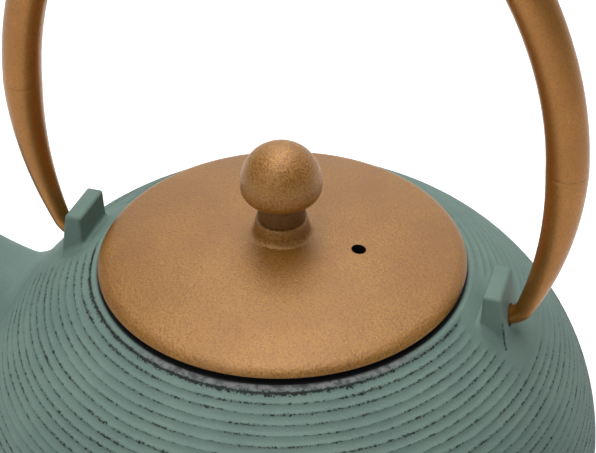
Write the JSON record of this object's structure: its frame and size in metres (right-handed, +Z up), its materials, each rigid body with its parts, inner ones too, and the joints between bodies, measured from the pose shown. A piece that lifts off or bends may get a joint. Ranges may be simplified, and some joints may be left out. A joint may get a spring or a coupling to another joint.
{
  "type": "teapot",
  "caption": "Round cast iron teapot with a ringed shoulder, short upturned spout, swinging bail handle, domed lid with a mushroom knob, and a lift-out mesh infuser.",
  "frame": {"origin": "on the pot's axis, on the surface that the foot ring stands on", "axes": "+Z up along the pot's axis, -X towards the spout, handle upright in the XZ plane and hinged along X"},
  "size_m": [0.2118, 0.174, 0.223],
  "materials": {
    "sage_iron": "matt sage green paint over ringed cast iron, rubbed dark in the grooves",
    "copper_iron": "satin copper paint over grained cast iron",
    "bronze_handle": "smooth satin copper bronze paint over steel",
    "steel": "bare stainless steel"
  },
  "bodies": {
    "pot": {"pot_body": "sage_iron"},
    "handle": {"handle_grip": "bronze_handle", "handle_end_rear": "bronze_handle", "handle_end_spout": "bronze_handle"},
    "infuser": {"infuser_rim": "steel", "infuser_mesh": "steel", "infuser_band": "steel", "infuser_base": "steel"},
    "lid": {"lid": "copper_iron", "knob": "copper_iron", "knob_screw": "steel", "knob_washer": "steel"}
  },
  "joints": [
    {"name": "handle_swing", "type": "hinge", "parent": "pot", "child": "handle", "pos_m": [0, 0, 0.09517], "axis": [1, 0, 0], "range_deg": [-107, 107]},
    {"name": "infuser_lift", "type": "slide", "parent": "pot", "child": "infuser", "axis": [0, 0, 1], "range_m": [0, 0.058]},
    {"name": "lid_lift", "type": "slide", "parent": "infuser", "child": "lid", "axis": [0, 0, 1], "range_m": [0, 0.018]}
  ]
}
